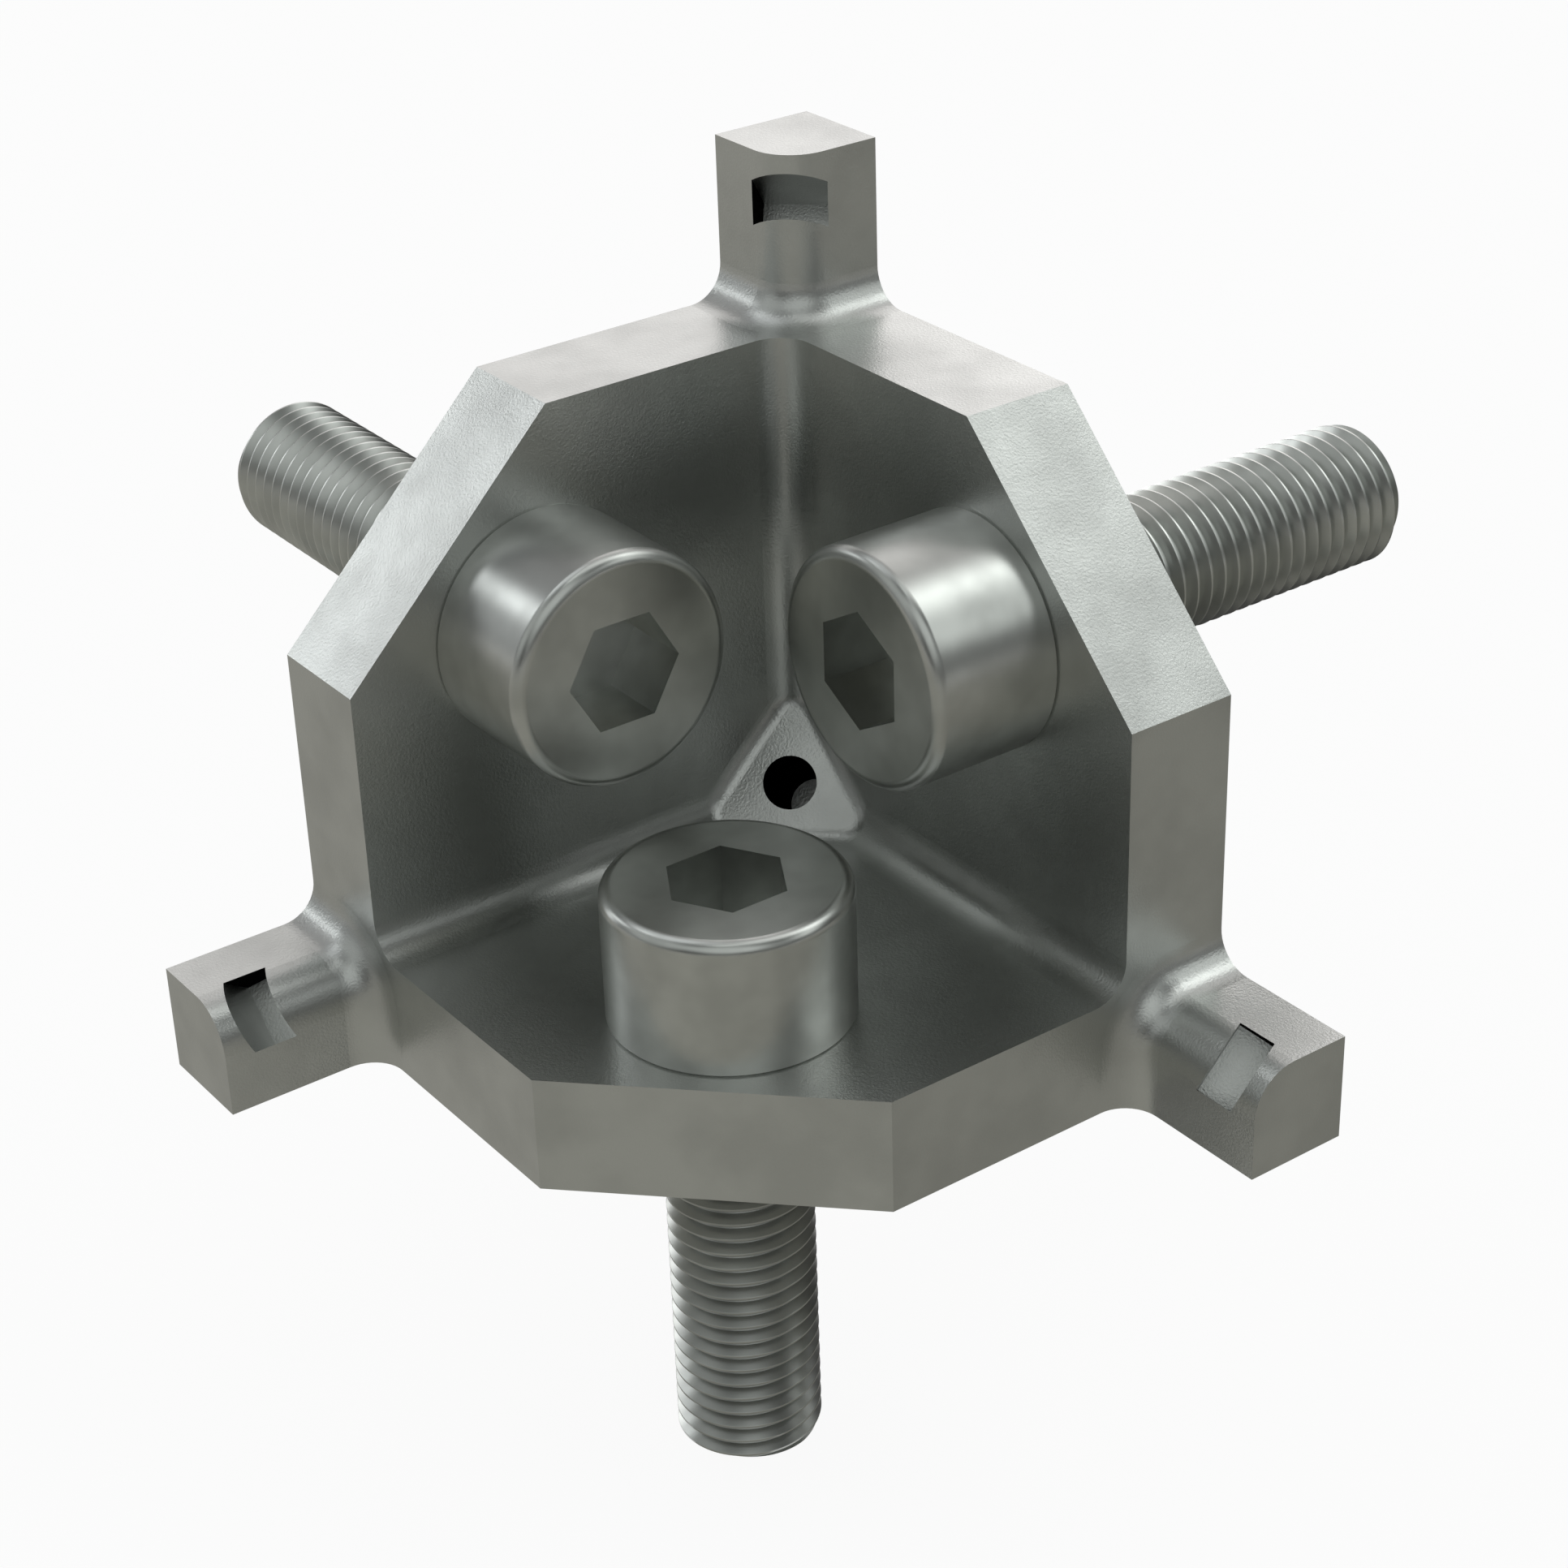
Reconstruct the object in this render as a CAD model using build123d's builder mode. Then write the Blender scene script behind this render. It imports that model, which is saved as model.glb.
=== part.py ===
from build123d import *
import os
from math import sqrt

# Cube connector: a die-cast corner that joins three square profiles at right angles.
# One socket head screw through each of its plates holds it to the end of a profile.
# The origin is the outer corner of the cube. The three outer faces lie in the planes
# x = 0, y = 0 and z = 0, and the open side of the corner looks along (1, 1, 1).
# All sizes are in millimetres.

# What the connector fits
profile_width = 45.0
cover_thickness = 2.0  # of the cover that makes the closed corner as wide as the profile

# Corner casting
plate_thickness = 6.5
arm_length = 9.0  # what stands out past the ends of the plates
arm_setback = 0.5  # how much narrower an arm is than a plate is thick
arm_edge_radius = 2.5  # the arm's one rounded edge, which faces the open side
arm_root_radius = 2.0  # blend from an arm to the ends of the plates
inner_edge_radius = 2.0  # blend between two plates
head_land = 1.0  # metal between a screw head and the cut corner of its plate
facet_radius = 6.0  # from the middle of the small inner facet to its sharp corners
facet_edge_radius = 1.25  # blend round the facet
cap_hole_diameter = 3.0
cap_hole_floor = 4.0  # metal along the diagonal, from the outer corner to the hole
clip_pocket_width = 4.0
clip_pocket_height = 2.0
clip_pocket_from_tip = 7.5  # where the pocket's centre line leaves the arm's outer edge

# Socket head screws
head_diameter = 12.8
head_height = 7.5
head_edge_radius = 0.7
head_base_chamfer = 0.1  # leaves the fine dark line round the foot of each head
socket_across_flats = 5.7
socket_depth = 4.0
thread_diameter = 7.8
end_chamfer = 0.3
screw_length = 26.5  # from under the head to the end
neck_relief = 0.35  # how far the neck stays inside the thread, all round
hole_clearance = 0.35  # free space round the thread in its hole

# Sizes that follow from them
cube_edge = profile_width - cover_thickness
screw_axis = profile_width / 2
plate_reach = cube_edge - arm_length
arm_width = plate_thickness - arm_setback
neck_radius = thread_diameter / 2 - neck_relief
hole_radius = thread_diameter / 2 + hole_clearance
free_thread = screw_length - plate_thickness
nearness = 0.01  # two places closer than this count as the same

# The 45 degree cut of a plate runs square to the line from the corner to the screw
cut_distance = screw_axis * sqrt(2) + head_diameter / 2 + head_land
cut_start = cut_distance * sqrt(2) - plate_reach

# One plate lies in each of these planes, with one arm and one screw square to it
plates = {"x": Plane.YZ, "y": Plane.ZX, "z": Plane.XY}

# The facet is square to the cube's diagonal, with one corner towards each arm
diagonal = Vector(1, 1, 1).normalized()
facet_distance = plate_thickness * sqrt(3) + facet_radius / sqrt(2)
facet = Plane(origin=diagonal * facet_distance, x_dir=(-1, -1, 2), z_dir=diagonal)


def is_inner_edge(edge):
    """True for the three edges where two plates meet on the open side."""
    middle = sorted(edge.center())
    on_both = [abs(place - plate_thickness) < nearness for place in middle[:2]]
    return all(on_both) and middle[2] > plate_thickness + nearness


def is_facet_edge(edge):
    """True for the edges round the facet."""
    return abs(facet.to_local_coords(edge.center()).Z) < nearness


def is_arm_root(edge):
    """True for the edges where an arm stands on the ends of the plates."""
    nearest, middle, farthest = sorted(edge.center())
    on_plate_end = abs(farthest - plate_reach) < nearness
    return on_plate_end and middle < arm_width + nearness


def clip_pocket_floor(plate):
    """The floor of an arm's pocket, in the plane through the tips of the three arms."""
    inset = clip_pocket_from_tip / 3
    middle = (inset, inset, cube_edge - 2 * inset)
    origin = plate.from_local_coords(middle)
    return Plane(origin=origin, x_dir=plate.x_dir - plate.y_dir, z_dir=diagonal)


# The casting is one piece: three plates, three arms and the filled inner corner
with BuildSketch(facet) as pyramid_base:
    RegularPolygon(radius=facet_distance * sqrt(2), side_count=3)

with BuildPart() as corner_casting:
    for plate in plates.values():
        with BuildSketch(plate):
            with BuildLine():
                Polyline(
                    (0, 0),
                    (plate_reach, 0),
                    (plate_reach, cut_start),
                    (cut_start, plate_reach),
                    (0, plate_reach),
                    close=True,
                )
            make_face()
        extrude(amount=plate_thickness)
        with BuildSketch(plate) as arm_section:
            Rectangle(arm_width, arm_width, align=(Align.MIN, Align.MIN))
            inner_vertex = arm_section.vertices().sort_by_distance((0, 0, 0))[-1]
            fillet(inner_vertex, radius=arm_edge_radius)
        extrude(amount=cube_edge)

    # A pyramid from the outer corner to the facet fills the inner corner
    loft(sections=[pyramid_base.sketch.face(), Vertex(0, 0, 0)])

    fillet(corner_casting.edges().filter_by(is_inner_edge), radius=inner_edge_radius)
    fillet(corner_casting.edges().filter_by(is_facet_edge), radius=facet_edge_radius)
    fillet(corner_casting.edges().filter_by(is_arm_root), radius=arm_root_radius)

    # One clearance hole through each plate
    for plate in plates.values():
        with BuildSketch(plate):
            with Locations((screw_axis, screw_axis)):
                Circle(hole_radius)
        extrude(amount=plate_thickness, mode=Mode.SUBTRACT)

    # The blind hole for the pin of the cover, down the diagonal
    with Locations(facet):
        Hole(radius=cap_hole_diameter / 2, depth=facet_distance - cap_hole_floor)

    # One pocket in each arm's rounded edge, for a clip of the cover
    for plate in plates.values():
        with BuildSketch(clip_pocket_floor(plate)):
            Rectangle(clip_pocket_width, clip_pocket_height)
        extrude(amount=2 * arm_width, mode=Mode.SUBTRACT)


def socket_screw(plate, socket_turn):
    """A screw square to the plate: head on its inner face, thread outside it."""
    seat = plate.offset(plate_thickness)
    head_top = seat.offset(head_height)
    screw_end = plate.offset(-free_thread)
    along_screw = Axis(plate.origin, plate.z_dir)
    axis_place = (screw_axis, screw_axis)
    with BuildPart() as screw:
        with BuildSketch(seat):
            with Locations(axis_place):
                Circle(head_diameter / 2)
        extrude(amount=head_height)
        fillet(screw.edges().sort_by(along_screw)[-1], radius=head_edge_radius)
        chamfer(screw.edges().sort_by(along_screw)[0], length=head_base_chamfer)
        with BuildSketch(head_top):
            with Locations(axis_place):
                RegularPolygon(
                    radius=socket_across_flats / 2,
                    side_count=6,
                    major_radius=False,
                    rotation=socket_turn,
                )
        extrude(amount=-socket_depth, mode=Mode.SUBTRACT)
        with BuildSketch(plate):
            with Locations(axis_place):
                Circle(neck_radius)
        extrude(amount=plate_thickness)
        with BuildSketch(screw_end):
            with Locations(axis_place):
                Circle(thread_diameter / 2)
        extrude(amount=free_thread)
        chamfer(screw.edges().sort_by(along_screw)[0], length=end_chamfer)
    return screw.part


os.makedirs("parts", exist_ok=True)

corner_casting.part.label = "corner_casting"
export_step(corner_casting.part, "parts/corner_casting.step")

# Degrees that each socket is turned about its own screw, as tightening left it
socket_turns = {"x": 30.0, "y": 30.0, "z": 0.0}
for axis_name, plate in plates.items():
    screw_part = socket_screw(plate, socket_turns[axis_name])
    screw_part.label = f"socket_screw_{axis_name}"
    export_step(screw_part, f"parts/{screw_part.label}.step")
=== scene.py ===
# %% [markdown]
# # A cube connector for square profiles
# The part is one metal casting, a hollow corner of a cube with a short square arm along each of its three edges,
# and three socket head screws that pass through its plates. This lesson dresses the exact solids: it makes the finish
# of the casting, models the screws with their real threads, and sets up the camera and the soft light of a studio.
# Lengths are metres, as Blender wants them, so a millimetre gets a name of its own.

# %% Load the exact solids
from math import cos, pi, radians, sin, sqrt, tan

import bmesh
import bpy
from mathutils import Matrix, Vector


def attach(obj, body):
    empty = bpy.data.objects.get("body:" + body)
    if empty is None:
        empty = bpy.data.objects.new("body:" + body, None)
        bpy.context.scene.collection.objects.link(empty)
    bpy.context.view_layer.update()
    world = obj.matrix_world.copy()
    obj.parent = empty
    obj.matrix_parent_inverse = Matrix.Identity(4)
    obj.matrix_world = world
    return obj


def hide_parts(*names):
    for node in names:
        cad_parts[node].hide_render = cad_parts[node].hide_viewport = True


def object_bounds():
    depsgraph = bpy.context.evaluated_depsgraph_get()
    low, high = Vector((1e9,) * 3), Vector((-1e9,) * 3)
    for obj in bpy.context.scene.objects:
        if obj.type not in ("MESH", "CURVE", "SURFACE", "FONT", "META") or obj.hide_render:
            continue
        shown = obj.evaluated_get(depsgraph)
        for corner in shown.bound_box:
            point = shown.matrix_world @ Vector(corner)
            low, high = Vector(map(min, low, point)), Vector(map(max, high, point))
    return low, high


MM = 0.001
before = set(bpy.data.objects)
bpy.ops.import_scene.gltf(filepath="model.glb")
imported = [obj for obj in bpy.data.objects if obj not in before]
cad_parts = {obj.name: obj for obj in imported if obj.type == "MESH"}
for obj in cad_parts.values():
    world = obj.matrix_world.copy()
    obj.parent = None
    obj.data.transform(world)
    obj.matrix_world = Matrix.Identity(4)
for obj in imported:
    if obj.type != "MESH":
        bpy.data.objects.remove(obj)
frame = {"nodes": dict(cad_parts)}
casting = frame["nodes"]["corner_casting"]
cad_low, cad_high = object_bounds()
print("solids:", ", ".join(frame["nodes"]))
print("box of the solids in mm:", [round(v / MM, 2) for v in (*cad_low, *cad_high)])

# %% [markdown]
# ## Small tools for modelling
# An operator acts on all that is selected, so a step on an older object starts by choosing that object alone, and
# edges are picked by where they lie, which still works when their numbers change. Both are short helpers here,
# together with the one that makes a modifier permanent.

# %% Choose, pick and apply
NEAR = 0.01 * MM


def choose(piece):
    """Makes the piece the one selected and active object."""
    bpy.ops.object.select_all(action="DESELECT")
    piece.select_set(True)
    bpy.context.view_layer.objects.active = piece


def pick_edges(piece, wanted):
    """Selects, in edit mode, the edges whose two ends both pass the test, and counts them."""
    bpy.ops.mesh.select_mode(type="EDGE")
    bpy.ops.mesh.select_all(action="DESELECT")
    mesh = bmesh.from_edit_mesh(piece.data)
    picked = [edge for edge in mesh.edges if all(wanted(corner.co) for corner in edge.verts)]
    for edge in picked:
        edge.select_set(True)
    bmesh.update_edit_mesh(piece.data)
    return len(picked)


def apply_modifier(piece, kind, **settings):
    """Adds a modifier with these settings and applies it."""
    choose(piece)
    modifier = piece.modifiers.new(kind.lower(), kind)
    for name, value in settings.items():
        setattr(modifier, name, value)
    bpy.ops.object.modifier_apply(modifier=modifier.name)


def span(piece):
    """Says in mm from where to where the piece goes."""
    corners = [corner.co for corner in piece.data.vertices]
    low = [round(min(at[i] for at in corners) / MM, 2) for i in range(3)]
    high = [round(max(at[i] for at in corners) / MM, 2) for i in range(3)]
    return f"from {low} to {high} mm"


print("the casting goes", span(casting))

# %% [markdown]
# ## The camera
# The photo looks down into the open side of the corner from close by, with a lens of about 75 mm on a 36 mm sensor.
# The three right angles of the casting give its place. It is aimed at a point just inside the inner corner, because a
# place, an aim and the little roll that the picture shows are easier to read than three angles.

# %% Place the camera
CAMERA_PLACE = Vector((0.100466, 0.136964, 0.096071))
CAMERA_AIM = Vector((0.009167, 0.008695, 0.008826))
CAMERA_ROLL = -1.952
CAMERA_LENS = 74.88

bpy.ops.object.camera_add(location=CAMERA_PLACE)
camera = bpy.context.object
camera.name = "photo_camera"
looking = (CAMERA_AIM - CAMERA_PLACE).to_track_quat("-Z", "Y").to_matrix()
camera.rotation_euler = (looking @ Matrix.Rotation(radians(CAMERA_ROLL), 3, "Z")).to_euler()
camera.data.lens = CAMERA_LENS
camera.data.sensor_width = 36.0
camera.data.clip_start = 0.01
camera.data.clip_end = 100.0
bpy.context.scene.camera = camera
print("camera at", [round(v, 4) for v in camera.location], "m from the corner:", round(CAMERA_PLACE.length, 3))

# %% [markdown]
# ## Writing node trees as sums
# A finish is mostly arithmetic on noise. Nodes could be added and linked one by one, but then a sum takes many lines
# and reads like none. So a socket is wrapped in a small class that understands +, - and *, and every other node comes
# from one method that takes its type, its settings and the values or links of its sockets.

# %% A socket that can be added and multiplied
class Signal:
    """The output of a node, which takes part in plain arithmetic."""

    def __init__(self, nodes, socket):
        self.nodes, self.socket = nodes, socket

    def _math(self, operation, first, second):
        return self.nodes.node("ShaderNodeMath", {"operation": operation}, {0: first, 1: second})

    def __add__(self, other):
        return self._math("ADD", self, other)

    __radd__ = __add__

    def __sub__(self, other):
        return self._math("SUBTRACT", self, other)

    def __rsub__(self, other):
        return self._math("SUBTRACT", other, self)

    def __mul__(self, other):
        return self._math("MULTIPLY", self, other)

    __rmul__ = __mul__

    def size(self):
        """The value without its sign."""
        return self._math("ABSOLUTE", self, 0.0)

    def below(self, limit):
        """1 where the value is less than the limit, else 0."""
        return self._math("LESS_THAN", self, limit)


# %% A node tree that makes, sets and links its nodes
class Nodes:
    """A node tree: makes nodes, sets them and links them."""

    def __init__(self, tree):
        self.tree = tree

    def node(self, kind, settings=None, inputs=None, output=0):
        """Adds a node of this kind and returns one of its outputs as a Signal."""
        made = self.tree.nodes.new(kind)
        for name, value in (settings or {}).items():
            setattr(made, name, value)
        for name, value in (inputs or {}).items():
            self.feed(made.inputs[name], value)
        return Signal(self, made.outputs[output])

    def feed(self, socket, value):
        """Links a Signal to the socket, or writes a plain value on it."""
        if isinstance(value, Signal):
            self.tree.links.new(value.socket, socket)
        else:
            socket.default_value = value

    def mix(self, share, first, second, blend_type="MIX"):
        """The first colour with that share of the second one mixed in or, with ADD, added to it."""
        settings = {"data_type": "RGBA", "blend_type": blend_type}
        return self.node("ShaderNodeMix", settings, {0: share, 6: first, 7: second}, output=2)

    def dot(self, first, second):
        """The dot product of two vectors."""
        return self.node("ShaderNodeVectorMath", {"operation": "DOT_PRODUCT"}, {0: first, 1: second}, output="Value")

    def spread(self, signal, low, high):
        """Goes from 0 to 1 while the signal goes from low to high, with soft ends."""
        inputs = {"Value": signal, "From Min": low, "From Max": high}
        return self.node("ShaderNodeMapRange", {"interpolation_type": "SMOOTHSTEP"}, inputs)


class Finish(Nodes):
    """A material for a solid surface, measured in the object's own coordinates."""

    def __init__(self, name):
        self.material = bpy.data.materials.new(name)
        self.material.use_nodes = True
        super().__init__(self.material.node_tree)
        self.shader = self.tree.nodes["Principled BSDF"]
        self.place = self.node("ShaderNodeTexCoord", output="Object")

    def coordinate(self, axis):
        """The x, y or z of the place, for an axis of 0, 1 or 2."""
        return self.node("ShaderNodeSeparateXYZ", {}, {0: self.place}, output=axis)

    def noise(self, size, detail=2.0, roughness=0.5):
        """Noise whose lumps are about this many metres across."""
        inputs = {"Vector": self.place, "Scale": 1.0 / size, "Detail": detail, "Roughness": roughness}
        return self.node("ShaderNodeTexNoise", {}, inputs)

    def bump(self, height, distance, under=None):
        """Turns a height signal into bent normals, over those of a coarser bump."""
        inputs = {"Height": height, "Distance": distance}
        if under is not None:
            inputs["Normal"] = under
        return self.node("ShaderNodeBump", {}, inputs)

    def wear(self, **inputs):
        """Writes values or links on the shader, with underscores for the spaces in the sockets' names."""
        for name, value in inputs.items():
            self.feed(self.shader.inputs[name.replace("_", " ")], value)
        print(self.material.name, "is made of", len(self.tree.nodes), "nodes")


# %% [markdown]
# ## The floor
# A pale floor lies under the lowest point, the tip of the upright screw. More lamps would whiten it too, but they
# would bleach the metal. So its white comes from its own colour: most of it glows at exactly the level of white for
# camera, glossy and transmission rays, and the rest is matt paint that receives the light, so the soft shadow of the
# part stays on it.

# %% Lay the floor
FLOOR_SIZE = 40.0
FLOOR_WHITE = (0.9, 0.9, 0.9, 1.0)
FULL_WHITE = (1.0, 1.0, 1.0, 1.0)
GLOW_SHARE = 0.93

bpy.ops.mesh.primitive_plane_add(size=FLOOR_SIZE, location=(0.0, 0.0, cad_low.z))
floor = bpy.context.object
floor.name = "pale_floor"

floor_paint = bpy.data.materials.new("pale_floor_paint")
floor_paint.use_nodes = True
paint = Nodes(floor_paint.node_tree)
paint.tree.nodes.clear()
matt = paint.node("ShaderNodeBsdfDiffuse", {}, {"Color": FLOOR_WHITE})
white = paint.node("ShaderNodeEmission", {}, {"Color": FULL_WHITE, "Strength": 1.0})
seen = paint.node("ShaderNodeLightPath", output="Is Camera Ray")
mirrored = paint.node("ShaderNodeLightPath", output="Is Glossy Ray")
passed = paint.node("ShaderNodeLightPath", output="Is Transmission Ray")
pale = paint.node("ShaderNodeMixShader", {}, {0: (seen + mirrored + passed) * GLOW_SHARE, 1: matt, 2: white})
paint.feed(paint.tree.nodes.new("ShaderNodeOutputMaterial").inputs["Surface"], pale)
floor.data.materials.append(floor_paint)
print("floor at", round(cad_low.z / MM, 2), "mm")

# %% [markdown]
# ## The light of the studio
# Satin metal shows what stands round it, so the light has to be laid out like the room of a photographer. In the photo
# the faces that look up are nearly white and the upright faces are a third as bright: wide windows stand behind the
# part, small lamps at both sides and overhead draw the bright lines on the heads and on the rounded edges, and the
# walls towards the camera are dim. Area lamps would show in the metal as patches with hard edges, so the light is
# painted on the world instead, as soft round glows that add up, each a direction, a width and a colour.

# %% Paint the soft light
WARM = (1.02, 0.99, 0.985)
COOL = (0.975, 1.005, 1.02)
GREENISH = (0.98, 1.02, 1.0)
DARK_ROOM = (0.02, 0.02, 0.02, 1.0)

# Azimuth, elevation, radius of the full core and of the outer edge, all in degrees, then the level and the tint
STUDIO = {
    "low window behind": (-97.0, 10.0, 11.0, 31.0, 0.92, WARM),
    "window behind": (-134.0, 35.0, 12.0, 30.0, 0.84, WARM),
    "low window on the left behind": (-147.0, 16.0, 5.0, 22.0, 1.4, WARM),
    "low lamp behind": (-125.0, 9.0, 3.0, 13.0, 1.1, WARM),
    "low window on the right": (-76.0, 5.0, 12.0, 23.0, 1.75, COOL),
    "lamp on the right": (-60.0, 27.0, 2.0, 9.0, 2.6, COOL),
    "upper lamp on the right": (-57.0, 50.0, 2.0, 9.0, 1.2, COOL),
    "high window on the right": (-70.0, 63.0, 12.0, 22.0, 0.85, COOL),
    "window on the left": (162.0, 47.0, 4.0, 22.0, 1.0, GREENISH),
    "far lamp in it": (160.0, 51.0, 2.0, 10.0, 1.5, GREENISH),
    "near lamp in it": (146.0, 43.0, 2.0, 10.0, 0.85, GREENISH),
    "wall on the left": (131.0, 30.0, 2.0, 16.0, 1.2, GREENISH),
    "wall beside it": (92.0, 28.0, 6.0, 26.0, 0.27, GREENISH),
    "foot of the left wall": (125.0, 6.0, 6.0, 22.0, 0.14, GREENISH),
    "foot of the right wall": (-42.0, 6.0, 5.0, 20.0, 0.13, COOL),
    "high window on the left": (148.0, 75.0, 8.0, 22.0, 0.65, GREENISH),
    "ceiling": (-166.0, 58.0, 12.0, 38.0, 0.36, WARM),
    "lamp overhead": (38.0, 80.0, 2.0, 9.0, 1.55, GREENISH),
    "wall in front": (53.0, 41.0, 12.0, 36.0, 0.68, GREENISH),
    "wall on the right": (-15.0, 33.0, 8.0, 36.0, 0.52, GREENISH),
}

world = bpy.data.worlds.new("studio")
bpy.context.scene.world = world
world.use_nodes = True
sky = Nodes(world.node_tree)
sky_direction = sky.node("ShaderNodeTexCoord", output="Generated")


def toward(azimuth, elevation):
    """The direction with this azimuth from +X towards +Y and this height over the horizon, in degrees."""
    a, e = radians(azimuth), radians(elevation)
    return Vector((cos(a) * cos(e), sin(a) * cos(e), sin(e)))


def glow(azimuth, elevation, core, edge):
    """1 within core degrees of a direction, falling softly to 0 at edge degrees."""
    alike = sky.dot(sky_direction, toward(azimuth, elevation))
    return sky.spread(alike, cos(radians(edge)), cos(radians(core)))


light = DARK_ROOM
for azimuth, elevation, core, edge, level, tint in STUDIO.values():
    colour = (*(level * part for part in tint), 1.0)
    light = sky.mix(glow(azimuth, elevation, core, edge), light, colour, blend_type="ADD")
sky.feed(sky.tree.nodes["Background"].inputs["Color"], light)
print("glows painted:", len(STUDIO))

# %% [markdown]
# ## Grey cards beside the part
# A photographer lays grey card beside shiny metal, because a white table would bleach its upright faces. Three grey
# cards lie in front and at both sides, and a dark one behind. A grey floor would do the same to the metal, but it
# would be grey in the picture too, so the cards show in reflections only and the pale floor keeps its light.

# %% Lay the grey cards
CARD_INNER = 0.004
CARD_OUTER = 0.9
CARD_WIDENING = 3.0
CARD_LIFT = 0.0002
CARD_MIDDLE = 22.0 * MM
CARD_GREYS = {
    "left": (-55.0, (0.38, 0.372, 0.34, 1.0)),
    "front": (35.0, (0.36, 0.355, 0.32, 1.0)),
    "right": (125.0, (0.292, 0.287, 0.258, 1.0)),
    "back": (-145.0, (0.07, 0.07, 0.068, 1.0)),
}


def lay_grey_card(name, azimuth, grey):
    """Lays a card that widens away from the part, flat over the floor."""
    bpy.ops.mesh.primitive_plane_add(size=1.0, location=(0.0, 0.0, 0.0))
    card = bpy.context.object
    card.name = f"grey_card_{name}"
    for corner in card.data.vertices:
        away = CARD_OUTER if corner.co.x > 0 else CARD_INNER
        corner.co = (away, corner.co.y * CARD_WIDENING * away, 0.0)
    middle = Vector((CARD_MIDDLE, CARD_MIDDLE, cad_low.z + CARD_LIFT))
    card.data.transform(Matrix.Translation(middle) @ Matrix.Rotation(radians(azimuth), 4, "Z"))
    card.visible_camera = card.visible_diffuse = card.visible_shadow = card.visible_transmission = False
    card_paint = bpy.data.materials.new(f"grey_card_paint_{name}")
    card_paint.use_nodes = True
    board = Nodes(card_paint.node_tree)
    board.tree.nodes.clear()
    shade = board.node("ShaderNodeEmission", {}, {"Color": grey, "Strength": 1.0})
    board.feed(board.tree.nodes.new("ShaderNodeOutputMaterial").inputs["Surface"], shade)
    card.data.materials.append(card_paint)


for name, (azimuth, grey) in CARD_GREYS.items():
    lay_grey_card(name, azimuth, grey)
print("cards laid:", len(CARD_GREYS))

# %% [markdown]
# ## The finish of the casting
# Die-cast metal that was tumbled or blasted is satin: it blurs what it mirrors, and close by it shows a very fine
# grain, a tenth to a fifth of a millimetre, that sparkles on the rounded edges. Over some millimetres the skin of the
# casting is a little wavy and cloudy. An image could carry all this, but noise has no seams and no end. Fine noise
# bends the normals, and coarse noise shifts colour and roughness slightly.

# %% Make the grain and the clouds
CAST_COLOUR = (0.587, 0.6, 0.583, 1.0)
CAST_CLOUD = (0.512, 0.523, 0.508, 1.0)
CAST_ROUGHNESS = 0.292
CLOUD_SIZE, CLOUD_ROUGHNESS = 4.5 * MM, 0.04
PATCH_SIZE, PATCH_ROUGHNESS = 1.6 * MM, 0.02
WAVE_SIZE, WAVE_HEIGHT = 2.6 * MM, 0.012 * MM
GRAIN_SIZE, GRAIN_HEIGHT = 0.14 * MM, 0.015 * MM

die_cast = Finish("die_cast_metal_finish_and_painted_shade")
clouds = die_cast.spread(die_cast.noise(CLOUD_SIZE, detail=3.0), 0.3, 0.7)
patches = die_cast.noise(PATCH_SIZE)
cast_roughness = CAST_ROUGHNESS + clouds * CLOUD_ROUGHNESS + patches * PATCH_ROUGHNESS
wavy = die_cast.bump(die_cast.noise(WAVE_SIZE, detail=1.0), WAVE_HEIGHT)
grained = die_cast.bump(die_cast.noise(GRAIN_SIZE, roughness=0.6), GRAIN_HEIGHT, under=wavy)
print("grain of", GRAIN_SIZE / MM, "mm over waves of", WAVE_SIZE / MM, "mm")

# %% [markdown]
# ## Painted shade in the hole and the pockets
# The walls of the blind hole and the ends of the three clip pockets get painted shade: a very dark colour and a high
# roughness, so that they look as dark as deep shade. They could be faces with a second material, but the exact solid
# isn't cut up here: a wall is a thin layer in space, so a few comparisons of coordinates say where the painted shade
# is. The lengths are measured along the cube's diagonal and beside it, because the hole and the pockets were cut
# along it.

# %% Paint shade into the hole and the pockets
# Painted shade: the very dark colour and the extra roughness of the hole's walls and the pockets' end walls
PAINTED_SHADE_BLACK = (0.004, 0.004, 0.004, 1.0)
PAINTED_SHADE_ROUGHNESS = 0.7
HAIR = 0.03 * MM
HOLE_RADIUS = 1.5 * MM
HOLE_FLOOR, HOLE_MOUTH = 4.0 * MM, 15.5 * MM
POCKET_HALF_WIDTH, POCKET_HALF_HEIGHT = 2.0 * MM, 1.0 * MM
# A pocket's floor lies where the three coordinates add up to this
POCKET_FLOOR = 43.0 * MM
# Its mouth is open from where the two short coordinates add up to this
POCKET_MOUTH = 9.12 * MM
# Halfway up the pocket, twice the long coordinate is greater than the two short ones together by this
POCKET_MIDDLE = 71.0 * MM
DIAGONAL = Vector((1.0, 1.0, 1.0)).normalized()

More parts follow.
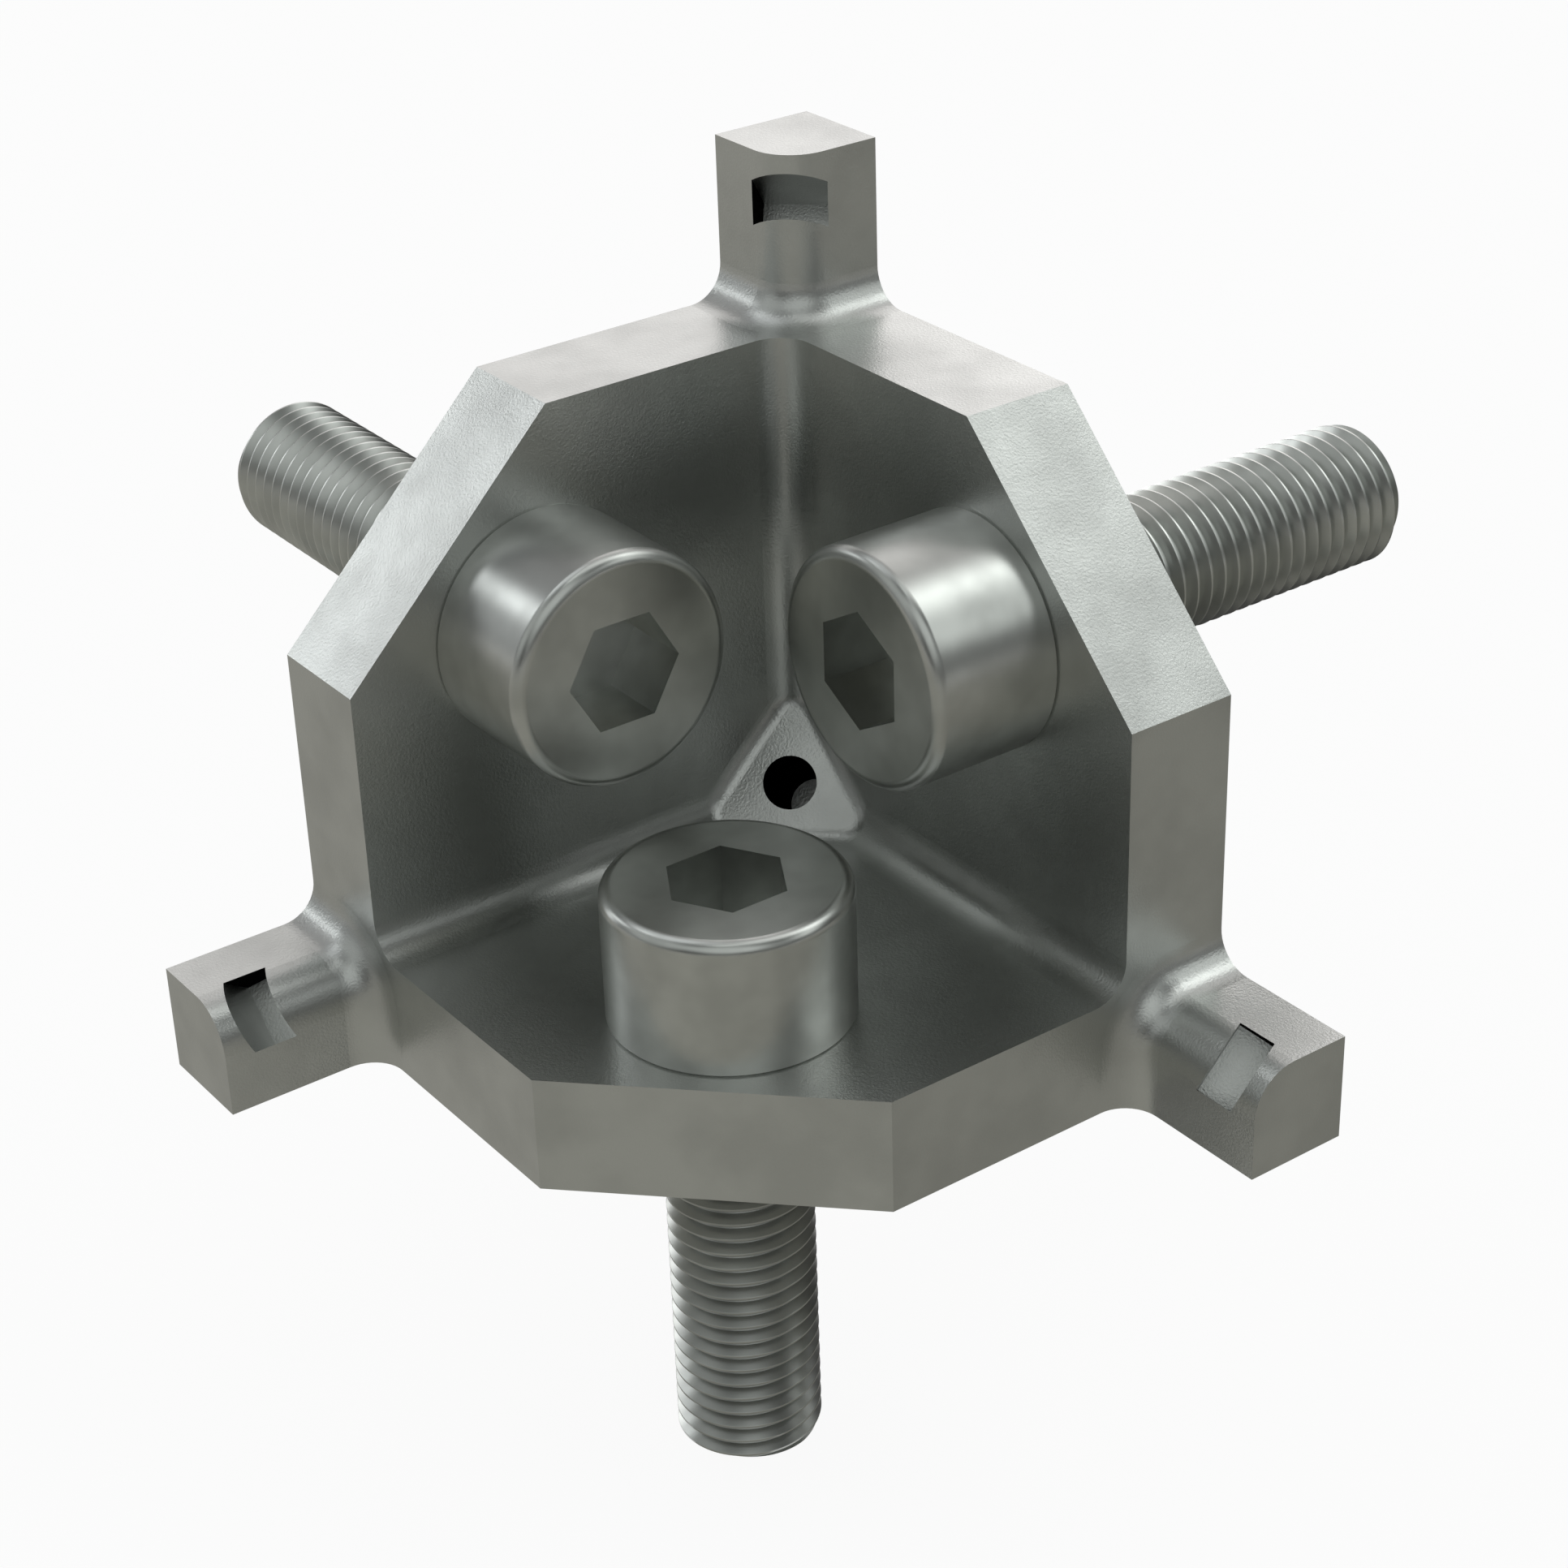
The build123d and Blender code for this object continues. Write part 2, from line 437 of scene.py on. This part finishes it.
along = die_cast.dot(die_cast.place, DIAGONAL)
across = die_cast.node("ShaderNodeVectorMath", {"operation": "CROSS_PRODUCT"}, {0: die_cast.place, 1: DIAGONAL})
off_line = die_cast.node("ShaderNodeVectorMath", {"operation": "LENGTH"}, {0: across}, output="Value")
in_hole = along.below(HOLE_MOUTH - HAIR) * (1.0 - along.below(HOLE_FLOOR + HAIR))
# This mask marks where painted shade goes: the hole's wall, then the pockets' end walls
painted_shade = off_line.below(HOLE_RADIUS + HAIR) * in_hole
for arm in range(3):
    first, second, length = (die_cast.coordinate((arm + step) % 3) for step in (1, 2, 0))
    reach = first + second
    sideways = (first - second).size() * sqrt(0.5)
    inside = reach.below(POCKET_MOUTH) * (1.0 - (reach + length).below(POCKET_FLOOR - HAIR))
    off_middle = (reach - 2.0 * length + POCKET_MIDDLE).size()
    in_height = off_middle.below(sqrt(6.0) * (POCKET_HALF_HEIGHT + HAIR))
    painted_shade = painted_shade + (sideways - POCKET_HALF_WIDTH).size().below(HAIR) * inside * in_height

die_cast.wear(
    # The masked walls get painted shade: their colour is mixed to very dark and their roughness raised
    Base_Color=die_cast.mix(painted_shade, die_cast.mix(clouds, CAST_COLOUR, CAST_CLOUD), PAINTED_SHADE_BLACK),
    Metallic=1.0,
    Roughness=cast_roughness + painted_shade * PAINTED_SHADE_ROUGHNESS,
    Normal=grained,
)
casting.data.materials.clear()
casting.data.materials.append(die_cast.material)

# %% [markdown]
# ## The finish of the screws
# The screws are plain steel, a shade darker than the casting. Rolling and washing leave their skin cloudy over one or
# two millimetres, so colour and roughness wander slowly, with no grain. The thread of the upright screw gets painted
# shade: its colour is darker than that of the other threads. All three share one material, which finds that thread by
# its height.

# %% Make the steel finish
STEEL_COLOUR = (0.585, 0.6, 0.577, 1.0)
STEEL_CLOUD = (0.485, 0.498, 0.478, 1.0)
STEEL_ROUGHNESS = 0.28
STEEL_CLOUD_SIZE, STEEL_CLOUD_ROUGHNESS = 2.6 * MM, 0.03
STEEL_SPOT_SIZE, STEEL_SPOT_ROUGHNESS = 1.1 * MM, 0.02
STEEL_WAVE_SIZE, STEEL_WAVE_HEIGHT = 2.4 * MM, 0.004 * MM
# Painted shade for the upright screw's thread: its colour goes a quarter of the way to this very dark colour
UPRIGHT_THREAD_SHADE = (0.02, 0.02, 0.02, 1.0)
UPRIGHT_THREAD_SHADE_SHARE = 0.25

screw_steel = Finish("screw_steel_finish_and_painted_shade")
steel_clouds = screw_steel.spread(screw_steel.noise(STEEL_CLOUD_SIZE), 0.28, 0.72)
steel_spots = screw_steel.noise(STEEL_SPOT_SIZE, detail=1.0)
upright_thread = screw_steel.coordinate(2).below(0.0)
plain_steel = screw_steel.mix(steel_clouds, STEEL_COLOUR, STEEL_CLOUD)
screw_steel.wear(
    # Only the thread below the casting gets the painted shade, so it renders darker than the other two
    Base_Color=screw_steel.mix(upright_thread * UPRIGHT_THREAD_SHADE_SHARE, plain_steel, UPRIGHT_THREAD_SHADE),
    Metallic=1.0,
    Roughness=STEEL_ROUGHNESS + steel_clouds * STEEL_CLOUD_ROUGHNESS + steel_spots * STEEL_SPOT_ROUGHNESS,
    Normal=screw_steel.bump(screw_steel.noise(STEEL_WAVE_SIZE, detail=0.0), STEEL_WAVE_HEIGHT),
)

# %% [markdown]
# ## The head of a screw
# A socket head is a short cylinder, upset from wire, with a rounded upper rim, a tiny chamfer where it sits and a
# hexagonal socket broached into its top. A cylinder is added at its real size, its two rims are bevelled, and the
# socket is cut with a hexagonal prism, as the broach does it. A spun outline would give the same head, but the
# hexagon would still have to be cut. All screws are modelled along +Z, over the plate that they hold.

# %% Form the head
SEAT = 6.5 * MM
HEAD_RADIUS = 6.4 * MM
HEAD_HEIGHT = 7.5 * MM
HEAD_TOP = SEAT + HEAD_HEIGHT
HEAD_STEPS = 144
RIM_RADIUS = 0.7 * MM
RIM_STEPS = 10
BASE_CHAMFER = 0.1 * MM

bpy.ops.mesh.primitive_cylinder_add(
    vertices=HEAD_STEPS, radius=HEAD_RADIUS, depth=HEAD_HEIGHT, location=(0.0, 0.0, SEAT + HEAD_HEIGHT / 2)
)
screw = bpy.context.object
screw.name = "socket_screw_model"
bpy.ops.object.transform_apply(location=True, rotation=True, scale=True)
bpy.ops.object.mode_set(mode="EDIT")
rim = pick_edges(screw, lambda at: at.z > HEAD_TOP - NEAR)
bpy.ops.mesh.bevel(offset=RIM_RADIUS, offset_type="OFFSET", segments=RIM_STEPS, profile=0.5, affect="EDGES")
base = pick_edges(screw, lambda at: at.z < SEAT + NEAR)
bpy.ops.mesh.bevel(offset=BASE_CHAMFER, offset_type="OFFSET", segments=1, profile=0.5, affect="EDGES")
bpy.ops.object.mode_set(mode="OBJECT")
print("edges in the rims:", rim, base, "faces in the head:", len(screw.data.polygons))

# %% Cut the socket
SOCKET_FLATS = 5.7 * MM
SOCKET_DEPTH = 4.0 * MM
CUT_OVER = 1.0 * MM


def combine(piece, tool, operation):
    """Combines the piece with a tool body and removes the tool."""
    apply_modifier(piece, "BOOLEAN", operation=operation, object=tool, solver="EXACT")
    choose(tool)
    bpy.ops.object.delete()


bpy.ops.mesh.primitive_cylinder_add(
    vertices=6,
    radius=SOCKET_FLATS / sqrt(3),
    depth=SOCKET_DEPTH + CUT_OVER,
    location=(0.0, 0.0, HEAD_TOP + (CUT_OVER - SOCKET_DEPTH) / 2),
    rotation=(0.0, 0.0, radians(30.0)),
)
broach = bpy.context.object
bpy.ops.object.transform_apply(location=True, rotation=True, scale=True)
combine(screw, broach, "DIFFERENCE")
print("faces after the socket:", len(screw.data.polygons))

# %% [markdown]
# ## The thread
# The thread is rolled: one V of 60 degrees that climbs round the shank, with a narrow flat on its crest and a rounded
# root. A bump would leave the outline of the shank smooth and a stack of rings wouldn't climb, so the real helix is
# modelled. Its outline over one turn is drawn by pushing a single point along, and the Screw modifier winds it. The
# turns meet end to end, so their doubled points are merged, and the body is then cut off flat at both ends.

# %% Draw one turn of the thread
PITCH = 0.946 * MM
CREST_RADIUS = 3.9 * MM
CREST_FLAT = PITCH / 8
CREST_EASE = 0.022 * MM
ROOT_ROUND = 0.1443 * PITCH
ROOT_RADIUS = CREST_RADIUS - 0.6134 * PITCH
ROOT_STEPS = 3
FIRST_CREST = -0.0165 * MM
TURNS_BELOW = 22

flank_angle = radians(60.0)
outline = [
    (ROOT_RADIUS + ROOT_ROUND * (1 - cos(step * flank_angle / ROOT_STEPS)),
     ROOT_ROUND * sin(step * flank_angle / ROOT_STEPS))
    for step in range(ROOT_STEPS + 1)
]
outline.append((CREST_RADIUS - CREST_EASE, PITCH / 2 - CREST_FLAT / 2 - CREST_EASE * tan(radians(30.0))))
outline.append((CREST_RADIUS, PITCH / 2 - CREST_FLAT / 2 + CREST_EASE / 2))
outline += [(out, PITCH - up) for out, up in reversed(outline)]

start_height = FIRST_CREST - PITCH / 2 - TURNS_BELOW * PITCH
bpy.ops.mesh.primitive_plane_add(size=1.0 * MM, location=(0.0, 0.0, 0.0))
thread = bpy.context.object
thread.name = "thread_model"
bpy.ops.object.mode_set(mode="EDIT")
bpy.ops.mesh.select_mode(type="VERT")
bpy.ops.mesh.select_all(action="SELECT")
bpy.ops.mesh.merge(type="CENTER")
bpy.ops.transform.translate(value=(outline[0][0], 0.0, start_height))
for (out, up), (next_out, next_up) in zip(outline, outline[1:]):
    bpy.ops.mesh.extrude_vertices_move(
        MESH_OT_extrude_verts_indiv={}, TRANSFORM_OT_translate={"value": (next_out - out, 0.0, next_up - up)}
    )
bpy.ops.object.mode_set(mode="OBJECT")
print("points in one turn:", len(thread.data.vertices))

# %% Wind it and cut it off at both ends
TURN_STEPS = 96
TURNS = 25
TIP = -20.0 * MM
TIP_SPARE = 0.2 * MM
TURNS_MERGE = 0.002 * MM
CUT_MERGE = 1e-7

apply_modifier(
    thread, "SCREW", axis="Z", angle=2 * pi, screw_offset=PITCH, iterations=TURNS, steps=TURN_STEPS,
    render_steps=TURN_STEPS
)
bpy.ops.object.mode_set(mode="EDIT")
bpy.ops.mesh.select_all(action="SELECT")
bpy.ops.mesh.remove_doubles(threshold=TURNS_MERGE)
for height, side in ((TIP - TIP_SPARE, -1.0), (0.0, 1.0)):
    bpy.ops.mesh.select_all(action="SELECT")
    bpy.ops.mesh.bisect(
        plane_co=(0.0, 0.0, height), plane_no=(0.0, 0.0, side), use_fill=True, clear_outer=True, threshold=CUT_MERGE
    )
bpy.ops.mesh.select_all(action="SELECT")
bpy.ops.mesh.normals_make_consistent(inside=False)
bpy.ops.object.mode_set(mode="OBJECT")
print("faces in the thread:", len(thread.data.polygons))

# %% [markdown]
# ## Tip and neck
# The tip is chamfered so that it finds its hole. Bevelling the cut end of a helix breaks its crest, so a chamfered
# cylinder a hair wider than the thread is laid over it, and what both share is kept. Inside the plate the shank is a
# smooth neck, thinner than the thread.

# %% Chamfer the tip
ENVELOPE_RADIUS = CREST_RADIUS + 0.05 * MM
ENVELOPE_LENGTH = 21.0 * MM
END_CHAMFER = 0.35 * MM

bpy.ops.mesh.primitive_cylinder_add(
    vertices=TURN_STEPS, radius=ENVELOPE_RADIUS, depth=ENVELOPE_LENGTH, location=(0.0, 0.0, TIP + ENVELOPE_LENGTH / 2)
)
envelope = bpy.context.object
bpy.ops.object.transform_apply(location=True, rotation=True, scale=True)
bpy.ops.object.mode_set(mode="EDIT")
pick_edges(envelope, lambda at: at.z < TIP + NEAR)
bpy.ops.mesh.bevel(offset=END_CHAMFER, offset_type="OFFSET", segments=1, affect="EDGES")
bpy.ops.object.mode_set(mode="OBJECT")
combine(thread, envelope, "INTERSECT")
print("the thread goes", span(thread))

# %% Join head, neck and thread
NECK_RADIUS = 3.55 * MM
NECK_SINK = 0.1 * MM
JOIN_MERGE = 0.0005 * MM

bpy.ops.mesh.primitive_cylinder_add(
    vertices=TURN_STEPS, radius=NECK_RADIUS, depth=SEAT + 2 * NECK_SINK, location=(0.0, 0.0, SEAT / 2)
)
neck = bpy.context.object
bpy.ops.object.transform_apply(location=True, rotation=True, scale=True)
combine(screw, neck, "UNION")
combine(screw, thread, "UNION")
choose(screw)
bpy.ops.object.mode_set(mode="EDIT")
bpy.ops.mesh.select_all(action="SELECT")
bpy.ops.mesh.remove_doubles(threshold=JOIN_MERGE)
bpy.ops.mesh.normals_make_consistent(inside=False)
bpy.ops.object.mode_set(mode="OBJECT")
measured = bmesh.new()
measured.from_mesh(screw.data)
print("faces in the screw:", len(measured.faces), "volume in mm3:", round(measured.calc_volume() / MM**3, 1))
print("open edges:", sum(not edge.is_manifold for edge in measured.edges))
measured.free()

# %% [markdown]
# ## Soft and sharp edges
# The rim and the round of the thread should shade smoothly while the socket and the crest stay crisp. Edges that turn
# by more than 35 degrees are kept sharp, and weighted normals keep the large flat faces truly flat beside the small
# round ones.

# %% Shade the screw
SHARP_ANGLE = 35.0

choose(screw)
bpy.ops.object.shade_smooth_by_angle(angle=radians(SHARP_ANGLE))
apply_modifier(screw, "WEIGHTED_NORMAL", keep_sharp=True)
screw.data.materials.append(screw_steel.material)
print("sharp edges:", sum(edge.use_edge_sharp for edge in screw.data.edges), "of", len(screw.data.edges))

# %% [markdown]
# ## One screw for each plate
# The three screws are alike. Each copy is turned about its own axis, as tightening left it, and set on its plate. The
# places could be written out one by one, but a third of a turn about the cube's diagonal carries the upright screw to
# the next plate and its neighbour to the last. In its wide hole each screw has slipped aside by a third of a
# millimetre, as in the photo.

# %% Copy and place the screws
SCREW_AXIS = 22.5 * MM
OWN_TURN = {"z": -120.0, "x": 150.0, "y": -150.0}
DIAGONAL_TURN = {"z": 0.0, "x": 120.0, "y": 240.0}
SLIP = {
    "z": Vector((0.0, -0.26, 0.0)) * MM,
    "x": Vector((0.0, -0.34, 0.16)) * MM,
    "y": Vector((-0.03, 0.0, -0.32)) * MM,
}

for plate, own_turn in OWN_TURN.items():
    copy = screw.copy()
    copy.data = screw.data.copy()
    copy.name = copy.data.name = f"threaded_screw_{plate}"
    bpy.context.collection.objects.link(copy)
    place = (
        Matrix.Translation(SLIP[plate])
        @ Matrix.Rotation(radians(DIAGONAL_TURN[plate]), 4, DIAGONAL)
        @ Matrix.Translation((SCREW_AXIS, SCREW_AXIS, 0.0))
        @ Matrix.Rotation(radians(own_turn), 4, "Z")
    )
    copy.data.transform(place)
    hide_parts(f"socket_screw_{plate}")
    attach(copy, "root")
    print(copy.name, "goes", span(copy))
choose(screw)
bpy.ops.object.delete()

# %% [markdown]
# ## The view transform
# The picture is rendered with the Standard view transform. The dressed part has to stay inside the box of its solids.

# %% Set the view transform
bpy.context.scene.view_settings.view_transform = "Standard"
